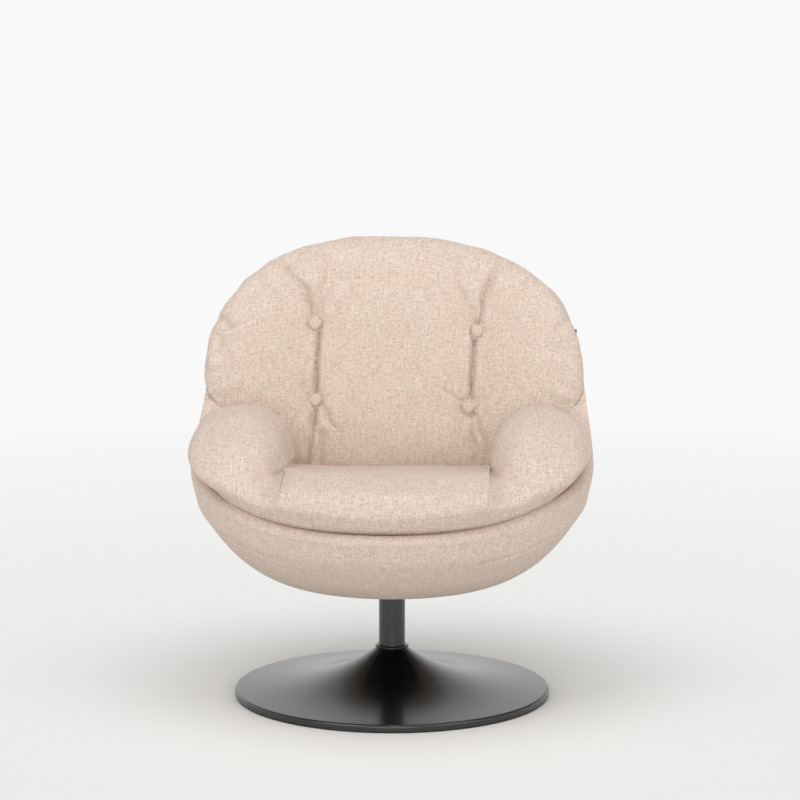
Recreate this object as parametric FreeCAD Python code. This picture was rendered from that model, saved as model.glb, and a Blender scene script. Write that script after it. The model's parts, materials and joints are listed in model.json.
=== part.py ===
import FreeCAD, Part

import math
import os
from functools import lru_cache

from FreeCAD import Vector

# Swivel barrel chair: a padded bucket shell with loose cushions, turning on a
# trumpet base. Millimetres, +Z up, origin on the floor on the swivel axis.
# The sitter faces -Y, and +X is on the right of someone who looks at the front.

# Trumpet base
base_radius = 300.0
floor_ring_height = 3.0
floor_ring_width = 36.0
ballast_thickness = 6.0
ballast_edge_gap = 1.5
cover_sheet = 2.0
cover_rim_round = 5.0
flare_floor = 8.0
flare_rise = 80.0
flare_length = 105.0
neck_radius = 30.5
collar_height = 6.0
collar_spigot = 8.0

# Column and its foot
column_diameter = 50.0
column_wall = 3.0
foot_radius = 62.0
foot_thickness = 6.0
foot_bolt_circle = 44.0
foot_bolt_count = 4
bolt_diameter = 8.0
bolt_head_flats = 13.0
bolt_head_height = 5.3
bolt_hole_play = 0.5
washer_radius = 8.0
washer_thickness = 1.6

# Bearing
spindle_diameter = 25.0
running_gap = 0.05
fit_gap = 0.15
bush_wall = 2.5
bush_length = 16.0
bush_flange = 1.5
head_cap = 12.0
head_length = 60.0
ball_diameter = 5.0
ball_count = 12
ball_circle_radius = 20.0
ball_gap = 0.1
race_thickness = 2.5
race_spacing = 3.0
race_radius = 24.8
race_bore = 15.0
cage_thickness = 1.2
retainer_radius = 19.0
retainer_thickness = 1.5
circlip_depth = 1.0
circlip_width = 3.0
circlip_opening = 50.0
end_play = 0.3

# Swivel plate and seat board
plate_side = 170.0
plate_corner = 25.0
plate_thickness = 4.0
plate_bolt_offset = 65.0
board_radius = 112.0
board_thickness = 18.0
board_edge_bevel = 2.0
tee_flange_radius = 11.0
tee_flange_thickness = 1.2
tee_barrel_radius = 5.2
tee_barrel_length = 12.0
dust_recess_radius = 116.0
dust_cloth = 1.0
dust_depth = 0.5

# Bucket shell
shell_half_width = 380.0
shell_front = 402.0
shell_back = 339.0
shell_flat = 150.0
shell_bottom = 216.0
belly_power = 1.6
widest_height = 440.0
back_height = 802.0
back_taper = 40.0
back_lean = 0.13
belly_shift = 0.5
cover_thickness = 14.0
core_thickness = 7.0
lining_thickness = 14.4
layer_gap = 0.3
rim_band = 18.0
rim_round = 16.0
rim_front_height = 360.0
rim_side_height = 434.0
seat_gap = 0.5
deck_height = 305.0

# Seat cushion with its two arm pads
seat_flat = 150.0
arm_bend_radius = 150.0
arm_bend_angle = 62.0
arm_straight = 16.0
seat_middle = 378.0
seat_front_reach = 382.0
seat_rear_reach = 115.0
seat_front_half = 54.0
seat_crown = 64.0
seat_rear_half = 32.0
seat_under = 70.0
arm_inner = 88.0
arm_outer = 86.0
arm_waist = 12.0
arm_tip = 84.0

# Back cushion
pillow_half_width = 370.0
pillow_bottom = 340.0
pillow_top = 857.0
pillow_widest = 592.0
pillow_tilt = 16.0
pillow_roll = 2.4
pillow_shift = -3.0
pillow_fan = 0.0005
pillow_foot_depth = 174.0
pillow_wrap = 110.0
pillow_front = 90.0
pillow_rear = 88.0
channel_offset = 155.0
channel_depth = 28.0
pillow_gap = 1.0
button_low = 520.0
button_high = 666.0
button_diameter = 21.5
button_height = 8.0
button_edge = 2.5
button_rise = 4.0
twine_diameter = 2.0
toggle_radius = 9.0
toggle_thickness = 3.0
toggle_sink = 12.0

# Heights that follow from the sizes above
ballast_bottom = floor_ring_height
ballast_top = ballast_bottom + ballast_thickness
foot_top = ballast_top + foot_thickness
neck_height = flare_floor + flare_rise
core_bottom = shell_bottom + cover_thickness + layer_gap
core_top = core_bottom + core_thickness
plate_bottom = core_bottom - plate_thickness
race_height = 2 * race_thickness + race_spacing
head_top = plate_bottom - race_height
head_bottom = head_top - head_length
ball_height = head_top + race_thickness + race_spacing / 2
board_top = core_top + board_thickness
wall = cover_thickness + core_thickness + lining_thickness + 2 * layer_gap
spindle_radius = spindle_diameter / 2
bush_radius = spindle_radius + running_gap + bush_wall
column_radius = column_diameter / 2
column_bore = column_radius - column_wall
retainer_top = head_bottom - bush_flange - end_play
retainer_bottom = retainer_top - retainer_thickness
spindle_bottom = retainer_bottom - 10.0

UP = Vector(0, 0, 1)
ORIGIN = Vector(0, 0, 0)


def disc(radius, low, high, bore=0.0):
    """Upright cylinder, or a ring when it has a bore."""
    body = Part.makeCylinder(radius, high - low, Vector(0, 0, low))
    if bore > 0:
        body = body.cut(Part.makeCylinder(bore, high - low, Vector(0, 0, low)))
    return body


def turned(profile):
    """Body turned about the vertical axis from (radius, height) corners."""
    points = [Vector(radius, 0, height) for radius, height in profile]
    face = Part.Face(Part.makePolygon(points + points[:1]))
    return face.revolve(ORIGIN, UP, 360)


def circle_of(body, count, radius, start=0.0):
    """Equal copies of a body on a circle about the vertical axis."""
    copies = []
    for index in range(count):
        copy = body.copy()
        copy.translate(Vector(radius, 0, 0))
        copy.rotate(ORIGIN, UP, start + 360.0 * index / count)
        copies.append(copy)
    return Part.makeCompound(copies)


def hexagon(flats, low, high):
    """Upright hexagonal prism, such as a bolt head."""
    corner = flats / math.sqrt(3)
    points = []
    for index in range(7):
        angle = math.radians(60 * index)
        points.append(Vector(corner * math.cos(angle), corner * math.sin(angle), low))
    return Part.Face(Part.makePolygon(points)).extrude(Vector(0, 0, high - low))


def spline(points):
    """Smooth edge through points."""
    curve = Part.BSplineCurve()
    curve.interpolate(points)
    return curve.toShape()


def arc(first, middle, last):
    return Part.Arc(first, middle, last).toShape()


# Base


def flare_height(radius):
    """Top surface of the trumpet: it settles towards the floor with radius."""
    return flare_floor + flare_rise * math.exp(-(radius - neck_radius) / flare_length)


def flare_point(radius, sheet):
    """Point on the trumpet's top surface, or that far below along its normal."""
    slope = (flare_floor - flare_height(radius)) / flare_length
    length = math.hypot(1, slope)
    return Vector(radius + sheet * slope / length, 0, flare_height(radius) - sheet / length)


def make_floor_ring():
    outer = base_radius - 0.4
    inner = outer - floor_ring_width
    top = floor_ring_height
    return turned([
        (inner + 1, 0), (outer - 1, 0), (outer, 1), (outer, top), (inner, top), (inner, 1),
    ])


def make_ballast_plate():
    radius = base_radius - cover_sheet - ballast_edge_gap
    plate = disc(radius, ballast_bottom, ballast_top)
    edge = [e for e in plate.Edges if e.BoundBox.ZMin > ballast_top - 0.01]
    plate = plate.makeChamfer(1.5, edge)
    hole = disc(bolt_diameter / 2 + fit_gap, ballast_bottom, ballast_top)
    return plate.cut(circle_of(hole, foot_bolt_count, foot_bolt_circle, 45))


def make_base_cover():
    """Spun sheet: concave flare, rounded rim and a short upright skirt."""
    end = base_radius - cover_rim_round
    span = end - neck_radius
    radii = [neck_radius + span * share for share in (0, 0.07, 0.16, 0.28, 0.45, 0.7, 1)]
    outside = [flare_point(radius, 0) for radius in radii]
    inside = [flare_point(radius, cover_sheet) for radius in radii[:-1]]
    corner = outside[-1] - Vector(0, 0, cover_rim_round)
    inside.append(outside[-1] - Vector(0, 0, cover_sheet))
    bend = math.sqrt(0.5)
    inner_round = cover_rim_round - cover_sheet
    skirt_out = corner + Vector(cover_rim_round, 0, 0)
    skirt_in = corner + Vector(inner_round, 0, 0)
    low = floor_ring_height
    foot_out = Vector(skirt_out.x, 0, low)
    foot_in = Vector(skirt_in.x, 0, low)
    profile = Part.Wire([
        spline(outside),
        arc(outside[-1], corner + Vector(bend, 0, bend) * cover_rim_round, skirt_out),
        Part.makeLine(skirt_out, foot_out),
        Part.makeLine(foot_out, foot_in),
        Part.makeLine(foot_in, skirt_in),
        arc(skirt_in, corner + Vector(bend, 0, bend) * inner_round, inside[-1]),
        spline(inside[::-1]),
        Part.makeLine(inside[0], outside[0]),
    ])
    return Part.Face(profile).revolve(ORIGIN, UP, 360)


def make_neck_collar():
    """Bead on the trumpet's neck with a spigot down between neck and column."""
    bore = column_radius + fit_gap
    spigot = neck_radius - cover_sheet - 1.5
    bead = collar_height / 2
    outline = Part.Wire([
        Part.makeLine(Vector(bore, 0, neck_height - collar_spigot), Vector(spigot, 0, neck_height - collar_spigot)),
        Part.makeLine(Vector(spigot, 0, neck_height - collar_spigot), Vector(spigot, 0, neck_height)),
        Part.makeLine(Vector(spigot, 0, neck_height), Vector(neck_radius - 0.5, 0, neck_height)),
        arc(
            Vector(neck_radius - 0.5, 0, neck_height),
            Vector(neck_radius + bead * 0.4, 0, neck_height + bead),
            Vector(neck_radius - 1.5, 0, neck_height + collar_height),
        ),
        Part.makeLine(Vector(neck_radius - 1.5, 0, neck_height + collar_height), Vector(bore, 0, neck_height + collar_height)),
        Part.makeLine(Vector(bore, 0, neck_height + collar_height), Vector(bore, 0, neck_height - collar_spigot)),
    ])
    return Part.Face(outline).revolve(ORIGIN, UP, 360)


def make_column_foot():
    foot = disc(foot_radius, ballast_top, foot_top, column_radius + fit_gap)
    edge = [e for e in foot.Edges if e.BoundBox.ZMin > foot_top - 0.01 and e.BoundBox.XLength > foot_radius]
    foot = foot.makeFillet(2, edge)
    hole = disc(bolt_diameter / 2 + bolt_hole_play, ballast_top, foot_top)
    return foot.cut(circle_of(hole, foot_bolt_count, foot_bolt_circle, 45))


def make_foot_bolts():
    shank = disc(bolt_diameter / 2, ballast_bottom + 0.5, foot_top)
    head = hexagon(bolt_head_flats, foot_top, foot_top + bolt_head_height)
    return circle_of(shank.fuse(head), foot_bolt_count, foot_bolt_circle, 45)


def make_column_tube():
    return disc(column_radius, ballast_top, head_top - head_cap, column_bore)


def make_column_head():
    """Turned plug with a cap as wide as the tube, bored for the two bushes."""
    bore = bush_radius + fit_gap
    plug = column_bore - fit_gap
    shoulder = head_top - head_cap
    return turned([
        (bore, head_bottom), (plug - 1, head_bottom), (plug, head_bottom + 1), (plug, shoulder),
        (column_radius, shoulder), (column_radius, head_top - 0.6), (column_radius - 0.6, head_top),
        (bore, head_top),
    ])


def make_upper_bush():
    return disc(bush_radius, head_top - bush_length, head_top, spindle_radius + running_gap)


def make_lower_bush():
    low = head_bottom - bush_flange
    bore = spindle_radius + running_gap
    return turned([
        (bore, low), (bush_radius + 3, low), (bush_radius + 3, head_bottom),
        (bush_radius, head_bottom), (bush_radius, head_bottom + bush_length),
        (bore, head_bottom + bush_length),
    ])


def make_race(low):
    """Washer with a groove for the balls; the groove faces the ball circle."""
    race = disc(race_radius, low, low + race_thickness, race_bore)
    groove = Part.makeTorus(ball_circle_radius, ball_diameter / 2 + ball_gap, Vector(0, 0, ball_height))
    return race.cut(groove)


def make_ball_cage():
    half = cage_thickness / 2
    cage = disc(race_radius - 0.4, ball_height - half, ball_height + half, race_bore + 0.6)
    pocket = disc(ball_diameter / 2 + ball_gap, ball_height - half, ball_height + half)
    return cage.cut(circle_of(pocket, ball_count, ball_circle_radius))


def make_bearing_balls():
    ball = Part.makeSphere(ball_diameter / 2, Vector(0, 0, ball_height))
    return circle_of(ball, ball_count, ball_circle_radius)


# Seat mechanism


def make_spindle():
    groove = spindle_radius - circlip_depth
    clip_top = retainer_bottom - ball_gap
    clip_bottom = clip_top - retainer_thickness
    return turned([
        (0, spindle_bottom), (spindle_radius - 1.5, spindle_bottom), (spindle_radius, spindle_bottom + 1.5),
        (spindle_radius, clip_bottom - ball_gap), (groove, clip_bottom - ball_gap),
        (groove, clip_top + ball_gap), (spindle_radius, clip_top + ball_gap),
        (spindle_radius, core_bottom - ball_gap), (0, core_bottom - ball_gap),
    ])


def make_retaining_washer():
    return disc(retainer_radius, retainer_bottom, retainer_top, spindle_radius + fit_gap)


def make_circlip():
    """Open ring in the spindle's groove, with the gap of a circlip."""
    high = retainer_bottom - ball_gap
    low = high - retainer_thickness
    bore = spindle_radius - circlip_depth + fit_gap
    edge = spindle_radius + circlip_width
    corners = [Vector(bore, 0, low), Vector(edge, 0, low), Vector(edge, 0, high), Vector(bore, 0, high)]
    face = Part.Face(Part.makePolygon(corners + corners[:1]))
    clip = face.revolve(ORIGIN, UP, 360 - circlip_opening)
    clip.rotate(ORIGIN, UP, circlip_opening / 2)
    return clip


def bolt_places():
    places = []
    for x in (-plate_bolt_offset, plate_bolt_offset):
        for y in (-plate_bolt_offset, plate_bolt_offset):
            places.append(Vector(x, y, 0))
    return places


def at_bolts(body):
    copies = []
    for place in bolt_places():
        copy = body.copy()
        copy.translate(place)
        copies.append(copy)
    return Part.makeCompound(copies)


def make_swivel_plate():
    half = plate_side / 2
    plate = Part.makeBox(plate_side, plate_side, plate_thickness, Vector(-half, -half, plate_bottom))
    corners = [e for e in plate.Edges if e.BoundBox.ZLength > plate_thickness - 0.01]
    plate = plate.makeFillet(plate_corner, corners)
    plate = plate.cut(disc(spindle_radius + fit_gap, plate_bottom, core_bottom))
    return plate.cut(at_bolts(disc(bolt_diameter / 2 + bolt_hole_play, plate_bottom, core_bottom)))


def make_plate_washers():
    low = plate_bottom - washer_thickness
    return at_bolts(disc(washer_radius, low, plate_bottom, bolt_diameter / 2 + bolt_hole_play))


def make_plate_bolts():
    under = plate_bottom - washer_thickness
    shank = disc(bolt_diameter / 2, under, board_top - 1)
    head = hexagon(bolt_head_flats, under - bolt_head_height, under)
    return at_bolts(shank.fuse(head))


def make_tee_nuts():
    bore = bolt_diameter / 2 + fit_gap
    nut = turned([
        (bore, board_top - tee_barrel_length), (tee_barrel_radius, board_top - tee_barrel_length),
        (tee_barrel_radius, board_top), (tee_flange_radius, board_top),
        (tee_flange_radius, board_top + tee_flange_thickness), (bore, board_top + tee_flange_thickness),
    ])
    return at_bolts(nut)


def make_seat_board():
    board = disc(board_radius, core_top, board_top)
    board = board.makeChamfer(board_edge_bevel, board.Edges)
    return board.cut(at_bolts(disc(tee_barrel_radius + fit_gap, core_top, board_top)))


def make_dust_cover():
    low = shell_bottom + dust_depth
    return disc(dust_recess_radius - layer_gap, low, low + dust_cloth, column_radius + 8)


# Bucket shell


def shell_plan(height, inset):
    """Half width, front reach, back reach and centre of the level section at a height."""
    bottom = shell_bottom + inset
    drop = min(max((widest_height - height) / (widest_height - bottom), 0), 1)
    share = math.sqrt(1 - drop ** belly_power)
    rise = max(height - widest_height, 0)
    flat = shell_flat - 0.3 * inset
    centre = belly_shift * rise
    half = flat + (shell_half_width - inset - flat) * share
    half -= back_taper * (rise / (back_height - widest_height)) ** 2
    front = flat + (shell_front - inset - flat) * share + centre
    back = flat + (shell_back - inset - flat) * share + back_lean * rise - centre
    return half, front, back, centre


def ellipse_quarter(centre, along_x, along_y, quarter):
    """Quarter number 0 to 3 of a level ellipse, counted from +X towards +Y."""
    start = quarter * math.pi / 2
    if along_x >= along_y:
        ellipse = Part.Ellipse(centre, along_x, along_y)
    else:
        tall = centre + Vector(0, along_y, 0)
        ellipse = Part.Ellipse(tall, centre + Vector(-along_x, 0, 0), centre)
        start -= math.pi / 2
    return Part.ArcOfEllipse(ellipse, start, start + math.pi / 2).toShape()


def shell_section(height, inset):
    half, front, back, shift = shell_plan(height, inset)
    centre = Vector(0, shift, height)
    return Part.Wire([
        ellipse_quarter(centre, half, back, 0),
        ellipse_quarter(centre, half, back, 1),
        ellipse_quarter(centre, half, front, 2),
        ellipse_quarter(centre, half, front, 3),
    ])


@lru_cache(None)
def bowl(inset):
    """Solid of the bucket's form, drawn in by an inset, with no rim cut yet."""
    depth = widest_height - shell_bottom - inset
    heights = [widest_height - depth * math.cos(math.radians(a)) for a in (0, 10, 22, 38, 58, 80)]
    rise = back_height + 80 - widest_height
    heights += [widest_height + rise * step / 5 for step in range(1, 6)]
    return Part.makeLoft([shell_section(height, inset) for height in heights], True, False)


def above_rim(rise=0.0):
    """Everything above the rim line, which sweeps from the low front to the high back."""
    front = rim_front_height + rise
    side = rim_side_height + rise
    back = back_height + rise
    high = back - side
    low = side - front
    line = [
        (-shell_front - 80, front), (-shell_front + 10, front + low * 0.03),
        (-shell_front * 0.8, front + low * 0.16), (-shell_front * 0.52, front + low * 0.6),
        (-shell_front * 0.18, side), (30, side + high * 0.13), (110, side + high * 0.34),
        (165, side + high * 0.6), (240, side + high * 0.85), (345, back - 5),
        (shell_back + 130, back + 10),
    ]
    out = -shell_half_width - 40
    points = [Vector(out, y, z) for y, z in line]
    top = back_height + 200
    high_last = Vector(out, points[-1].y, top)
    high_first = Vector(out, points[0].y, top)
    outline = Part.Wire([
        spline(points),
        Part.makeLine(points[-1], high_last),
        Part.makeLine(high_last, high_first),
        Part.makeLine(high_first, points[0]),
    ])
    return Part.Face(outline).extrude(Vector(-2 * out, 0, 0))


def rim_edges(body, rise):
    """The edges of a bucket that lie on its rim line."""
    region = above_rim(rise)
    found = []
    for edge in body.Edges:
        span = edge.LastParameter - edge.FirstParameter
        points = [edge.valueAt(edge.FirstParameter + span * share) for share in (0.1, 0.5, 0.9)]
        near = [region.distToShape(Part.Vertex(point))[0] < 0.3 for point in points]
        if all(near):
            found.append(edge)
    return found


def bucket(outer, inner, rise, rounding):
    """Wall of the bucket between two insets, with its rim rounded over."""
    body = bowl(outer).cut(bowl(inner)).cut(above_rim(rise))
    return body.makeFillet(rounding, rim_edges(body, rise))


def layer(outer, inner):
    """One inner layer of the wall, which ends under the padded rim."""
    return bowl(outer).cut(bowl(inner)).cut(above_rim(-rim_band - layer_gap))


def make_shell_cover():
    """Foam and fabric outside, with the padded rim that wraps over the edge."""
    body = bucket(0, wall, 0, min(rim_round, 0.45 * wall))
    body = body.cut(bowl(cover_thickness).cut(above_rim(-rim_band)))
    return body.cut(disc(dust_recess_radius, shell_bottom - 1, core_bottom + 1))


def make_shell_core():
    outer = cover_thickness + layer_gap
    core = layer(outer, outer + core_thickness)
    return core.cut(at_bolts(disc(bolt_diameter / 2 + bolt_hole_play, core_bottom, core_top)))


def make_shell_lining():
    outer = cover_thickness + core_thickness + 2 * layer_gap
    lining = layer(outer, wall)
    return lining.cut(disc(board_radius + layer_gap, core_top - 1, board_top + 40))


def make_deck_foam():
    """Foam pad that fills the bottom of the bowl up to the seat cushion."""
    pad = bowl(wall + layer_gap)
    keep = disc(2 * shell_half_width, shell_bottom, deck_height)
    pad = pad.common(keep)
    well = disc(board_radius + layer_gap, shell_bottom, board_top + layer_gap)
    nuts = at_bolts(disc(tee_flange_radius + 1, board_top, board_top + tee_flange_thickness + layer_gap))
    return pad.cut(well).cut(nuts)


# Seat cushion with arm pads


def seat_path(distance):
    """Centre, direction angle and end share of the cushion's path at a distance from the middle."""
    side = 1 if distance >= 0 else -1
    along = abs(distance)
    bend = math.radians(arm_bend_angle)
    turn = arm_bend_radius * bend
    if along <= seat_flat:
        x = along
        z = seat_middle
        angle = 0.0
    elif along <= seat_flat + turn:
        angle = (along - seat_flat) / arm_bend_radius
        x = seat_flat + arm_bend_radius * math.sin(angle)
        z = seat_middle + arm_bend_radius * (1 - math.cos(angle))
    else:
        angle = bend
        rest = along - seat_flat - turn
        x = seat_flat + arm_bend_radius * math.sin(angle) + rest * math.cos(angle)
        z = seat_middle + arm_bend_radius * (1 - math.cos(angle)) + rest * math.sin(angle)
    return Vector(side * x, 0, z), side * angle


def seat_section(distance, tip_share):
    """Closed section of four arcs, square to the path; tip_share rounds the arm's end."""
    centre, angle = seat_path(distance)
    inward = Vector(-math.sin(angle), 0, math.cos(angle))
    arm = min(abs(angle) / math.radians(arm_bend_angle), 1)
    arm = arm * arm * (3 - 2 * arm)
    across = min(abs(centre.x) / (seat_front_reach + 6), 1)
    front = -seat_front_reach * math.sqrt(1 - across * across)
    rear = seat_rear_reach - pillow_wrap * (centre.x / pillow_half_width) ** 2
    rear += (centre.z - seat_middle - seat_rear_half) * math.tan(math.radians(pillow_tilt))
    front_half = seat_front_half + (arm_inner * 0.8 - seat_front_half) * arm
    crown = seat_crown + (arm_inner - seat_crown) * arm
    rear_half = seat_rear_half + (arm_inner * 0.8 - seat_rear_half) * arm
    under = seat_under + (arm_outer - seat_under) * arm
    under -= arm_waist * 4 * arm * (1 - arm)
    under_front = 30 + (arm_outer * 0.8 - 30) * arm
    under_front -= arm_waist * 4 * arm * (1 - arm)
    middle = (front + rear) / 2
    front = middle + (front - middle) * tip_share
    rear = middle + (rear - middle) * tip_share
    front_half *= tip_share
    crown *= tip_share
    rear_half *= tip_share
    under *= tip_share
    under_front *= tip_share
    nose = 0.42 * (front_half + under_front)
    tail = 0.35 * (rear_half + under * 0.8)

    def at(y, height):
        return Vector(centre.x, y, centre.z) + inward * height

    top_front = at(front + nose, front_half)
    top_rear = at(rear - tail, rear_half)
    low_rear = at(rear - tail, -under * 0.8)
    low_front = at(front + nose, -under_front)
    return Part.Wire([
        arc(top_front, at(middle * 0.85 + front * 0.15, crown), top_rear),
        arc(top_rear, at(rear, (rear_half - under * 0.8) / 2), low_rear),
        arc(low_rear, at(middle, -under), low_front),
        arc(low_front, at(front, (front_half - under_front) / 2), top_front),
    ])


def seat_form():
    turn = arm_bend_radius * math.radians(arm_bend_angle)
    end = seat_flat + turn + arm_straight
    stations = [(0, 1), (seat_flat * 0.8, 1), (seat_flat + turn * 0.35, 1), (seat_flat + turn * 0.7, 1), (end, 1)]
    for angle in (30, 55, 75, 86):
        bend = math.radians(angle)
        stations.append((end + arm_tip * math.sin(bend), math.cos(bend)))
    sections = [seat_section(-distance, share) for distance, share in stations[:0:-1]]
    sections += [seat_section(distance, share) for distance, share in stations]
    return Part.makeLoft(sections, True, False)


# Back cushion


def outline_share(x, power):
    """Height share of the cushion's rounded outline at a distance from its middle."""
    return (1 - min(abs(x) / pillow_half_width, 1) ** power) ** (1 / power)


def pillow_frame(point):
    """Puts a point of the cushion's own frame (across, up, out) into the chair's."""
    across, up, out = point
    roll = math.radians(pillow_roll)
    share = (across / pillow_half_width) ** 2
    fanned = across * (1 + pillow_fan * up * (1 - share))
    level = fanned * math.cos(roll) + up * math.sin(roll) + pillow_shift
    height = up * math.cos(roll) - fanned * math.sin(roll)
    tilt = math.radians(pillow_tilt)
    foot = (pillow_widest - pillow_bottom) / math.cos(tilt) + height
    y = pillow_foot_depth + foot * math.sin(tilt) - out * math.cos(tilt)
    y -= pillow_wrap * share
    z = pillow_bottom + foot * math.cos(tilt) + out * math.sin(tilt)
    return Vector(level, y, z)


def button_level(height):
    return (height - pillow_widest) / math.cos(math.radians(pillow_tilt))


def channel_share(x):
    """1 at a tufted channel, falling to 0 along the lobes beside it."""
    if abs(x) <= channel_offset:
        away = (channel_offset - abs(x)) / channel_offset
    else:
        away = (abs(x) - channel_offset) / (pillow_half_width - channel_offset)
    return max(1 - 1.9 * away, 0) ** 2


def pillow_thickness(x):
    """Front and rear half thickness, before the channels are drawn in."""
    edge = min(abs(x) / pillow_half_width, 1)
    round_off = math.sqrt(1 - edge ** 4)
    front = pillow_front * round_off
    rear = pillow_rear * round_off
    return front, rear


def pillow_section(x, grow):
    """Closed section of six arcs: three down the front, two noses and the rear."""
    slope = 1 / math.cos(math.radians(pillow_tilt))
    top = (pillow_top - pillow_widest) * slope * outline_share(x, 2.15) + grow
    bottom = -(pillow_widest - pillow_bottom) * slope * outline_share(x, 2.2) - grow
    front, rear = pillow_thickness(x)
    pull = channel_depth * channel_share(x)
    front += grow
    rear += grow
    lean = outline_share(x, 2.3) / outline_share(channel_offset, 2.3)
    high = button_level(button_high) * lean
    low = button_level(button_low) * lean
    face = front - pull
    end_face = 0.62 * front - 0.5 * pull
    nose_top = min(0.36 * (end_face + 0.7 * rear), 0.3 * top)
    nose_low = min(0.36 * (end_face + 0.7 * rear), 0.3 * -bottom)

    def at(up, out):
        return pillow_frame((x, up, out))

    top_front = at(top - nose_top, end_face)
    low_front = at(bottom + nose_low, end_face)
    low_rear = at(bottom + nose_low, -0.7 * rear)
    top_rear = at(top - nose_top, -0.7 * rear)
    high_tuft = at(high, face * 0.97)
    low_tuft = at(low, face * 0.97)
    return Part.Wire([
        arc(top_front, at((top - nose_top + high) / 2, 0.5 * (end_face + 0.97 * face) + 0.09 * front), high_tuft),
        arc(high_tuft, at((high + low) / 2, face), low_tuft),
        arc(low_tuft, at((bottom + nose_low + low) / 2, 0.5 * (end_face + 0.97 * face) + 0.09 * front), low_front),
        arc(low_front, at(bottom, (end_face - 0.7 * rear) / 2), low_rear),
        arc(low_rear, at(0, -rear), top_rear),
        arc(top_rear, at(top, (end_face - 0.7 * rear) / 2), top_front),
    ])


def pillow_form(grow=0.0):
    """Three stuffed lobes that meet at the two tufted channels."""
    reach = pillow_half_width - channel_offset
    outer = [channel_offset + reach * share for share in (0, 0.2, 0.5, 0.8, 0.94, 0.995)]
    inner = [channel_offset * share for share in (-1, -0.7, 0, 0.7, 1)]
    right = Part.makeLoft([pillow_section(x, grow) for x in outer], True, False)
    left = Part.makeLoft([pillow_section(-x, grow) for x in outer], True, False)
    middle = Part.makeLoft([pillow_section(x, grow) for x in inner], True, False)
    return middle.fuse([left, right])


@lru_cache(None)
def shell_clearance():
    """The bucket grown by the gap that keeps the cushions clear of it."""
    return bucket(-seat_gap, wall + seat_gap, seat_gap, min(rim_round, 0.45 * wall))


def tuft_lines():
    """Front point and outward direction of each tuft on the back cushion."""
    front, rear = pillow_thickness(channel_offset)
    face = (front - channel_depth) * 0.97 + button_rise
    lines = []
    for x in (-channel_offset, channel_offset):
        for height in (button_low, button_high):
            level = button_level(height)
            seat = pillow_frame((x, level, face))
            out = pillow_frame((x, level, face + 1)) - seat
            lines.append((seat, out))
    return lines


def along(line, radius, near, far):
    """Cylinder on a tuft's line, between two depths behind its front point."""
    seat, out = line
    return Part.makeCylinder(radius, far - near, seat - out * near, out * -1)


@lru_cache(None)
def plain_back_cushion():
    return pillow_form().cut(shell_clearance())


@lru_cache(None)
def tuft_depths():
    """How far the cushion's rear lies behind the front point of each tuft."""
    depths = []
    for seat, out in tuft_lines():
        probe = Part.makeLine(seat - out * 10, seat - out * 400)
        depths.append(10 + plain_back_cushion().common(probe).Length)
    return depths


def make_back_cushion():
    """The stuffed cushion with the twine holes and the dimples of the toggles."""
    pillow = plain_back_cushion()
    for line, depth in zip(tuft_lines(), tuft_depths()):
        toggle = depth - toggle_sink
        pillow = pillow.cut(along(line, button_diameter / 2 + layer_gap, -40, 0))
        pillow = pillow.cut(along(line, twine_diameter / 2 + layer_gap, -5, toggle))
        pillow = pillow.cut(along(line, toggle_radius + layer_gap, toggle - layer_gap, depth + 20))
    return pillow


def make_tuft_twines():
    twines = []
    for line, depth in zip(tuft_lines(), tuft_depths()):
        twines.append(along(line, twine_diameter / 2, -layer_gap, depth - toggle_sink))
    return Part.makeCompound(twines)


def make_tuft_toggles():
    toggles = []
    for line, depth in zip(tuft_lines(), tuft_depths()):
        near = depth - toggle_sink
        toggles.append(along(line, toggle_radius, near, near + toggle_thickness))
    return Part.makeCompound(toggles)


def make_seat_cushion():
    cushion = seat_form().cut(shell_clearance())
    cushion = cushion.cut(disc(2 * shell_half_width, 0, deck_height + layer_gap))
    return cushion.cut(pillow_form(pillow_gap))


def make_tuft_buttons():
    """Domed covered buttons, each square to the cushion's front at its tuft."""
    radius = button_diameter / 2
    rise = button_height - button_edge
    ball = (radius ** 2 + rise ** 2) / (2 * rise)
    button = disc(radius, 0, button_height)
    button = button.common(Part.makeSphere(ball, Vector(0, 0, button_height - ball)))
    rim = [e for e in button.Edges if e.BoundBox.ZMax < 0.01]
    button = button.makeFillet(1.0, rim)
    copies = []
    for seat, out in tuft_lines():
        copy = button.copy()
        copy.Placement = FreeCAD.Placement(seat + out * layer_gap, FreeCAD.Rotation(UP, out))
        copies.append(copy)
    return Part.makeCompound(copies)


nodes = {
    "floor_ring": make_floor_ring,
    "ballast_plate": make_ballast_plate,
    "base_cover": make_base_cover,
    "neck_collar": make_neck_collar,
    "column_tube": make_column_tube,
    "column_foot": make_column_foot,
    "foot_bolts": make_foot_bolts,
    "column_head": make_column_head,
    "upper_bush": make_upper_bush,
    "lower_bush": make_lower_bush,
    "lower_race": lambda: make_race(head_top),
    "ball_cage": make_ball_cage,
    "bearing_balls": make_bearing_balls,
    "upper_race": lambda: make_race(plate_bottom - race_thickness),
    "spindle": make_spindle,
    "retaining_washer": make_retaining_washer,
    "circlip": make_circlip,
    "swivel_plate": make_swivel_plate,
    "plate_washers": make_plate_washers,
    "plate_bolts": make_plate_bolts,
    "tee_nuts": make_tee_nuts,
    "seat_board": make_seat_board,
    "dust_cover": make_dust_cover,
    "shell_cover": make_shell_cover,
    "shell_core": make_shell_core,
    "shell_lining": make_shell_lining,
    "deck_foam": make_deck_foam,
    "seat_cushion": make_seat_cushion,
    "back_cushion": make_back_cushion,
    "tuft_buttons": make_tuft_buttons,
    "tuft_twines": make_tuft_twines,
    "tuft_toggles": make_tuft_toggles,
}

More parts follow.
